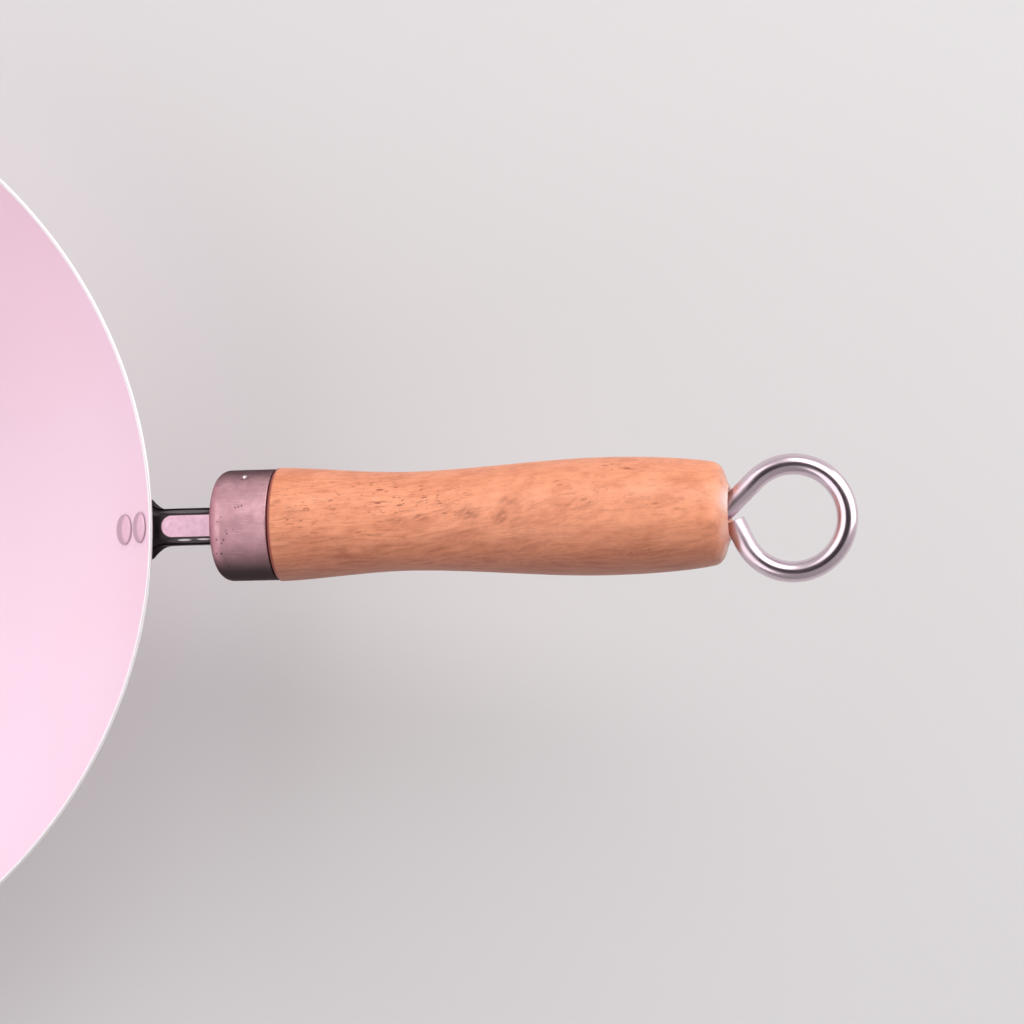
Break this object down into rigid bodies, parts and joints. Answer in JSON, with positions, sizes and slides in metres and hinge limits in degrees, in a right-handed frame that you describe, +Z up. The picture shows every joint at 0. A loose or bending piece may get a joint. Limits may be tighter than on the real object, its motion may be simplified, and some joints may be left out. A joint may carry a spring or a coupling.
{
  "type": "wok",
  "caption": "Flat-based pressed steel wok with a riveted bracket and a rising turned wooden grip, held by a steel eye bolt whose round eye hangs the pan.",
  "frame": {"origin": "centre of the flat base, on the surface that the wok stands on", "axes": "+Z up, +X from the bowl towards the handle, +Y across"},
  "size_m": [0.4729, 0.28, 0.1495],
  "materials": {
    "pink_coat": "satin",
    "rivet_steel": "satin",
    "cast_steel": "polished",
    "drawn_steel": "satin",
    "turned_wood": "satin",
    "polished_wire": "polished"
  },
  "bodies": {
    "pan": {"wok_bowl": "pink_coat", "rivet_upper": "rivet_steel", "rivet_lower": "rivet_steel", "handle_bracket": "cast_steel", "ferrule": "drawn_steel", "wooden_grip": "turned_wood"},
    "eye": {"eye_bolt": "polished_wire"}
  },
  "joints": [
    {"name": "eye_bolt_turn", "type": "hinge", "parent": "pan", "child": "eye", "pos_m": [0.14, 0, 0.0755], "axis": [0.9367, 0, 0.3502], "continuous": true}
  ]
}
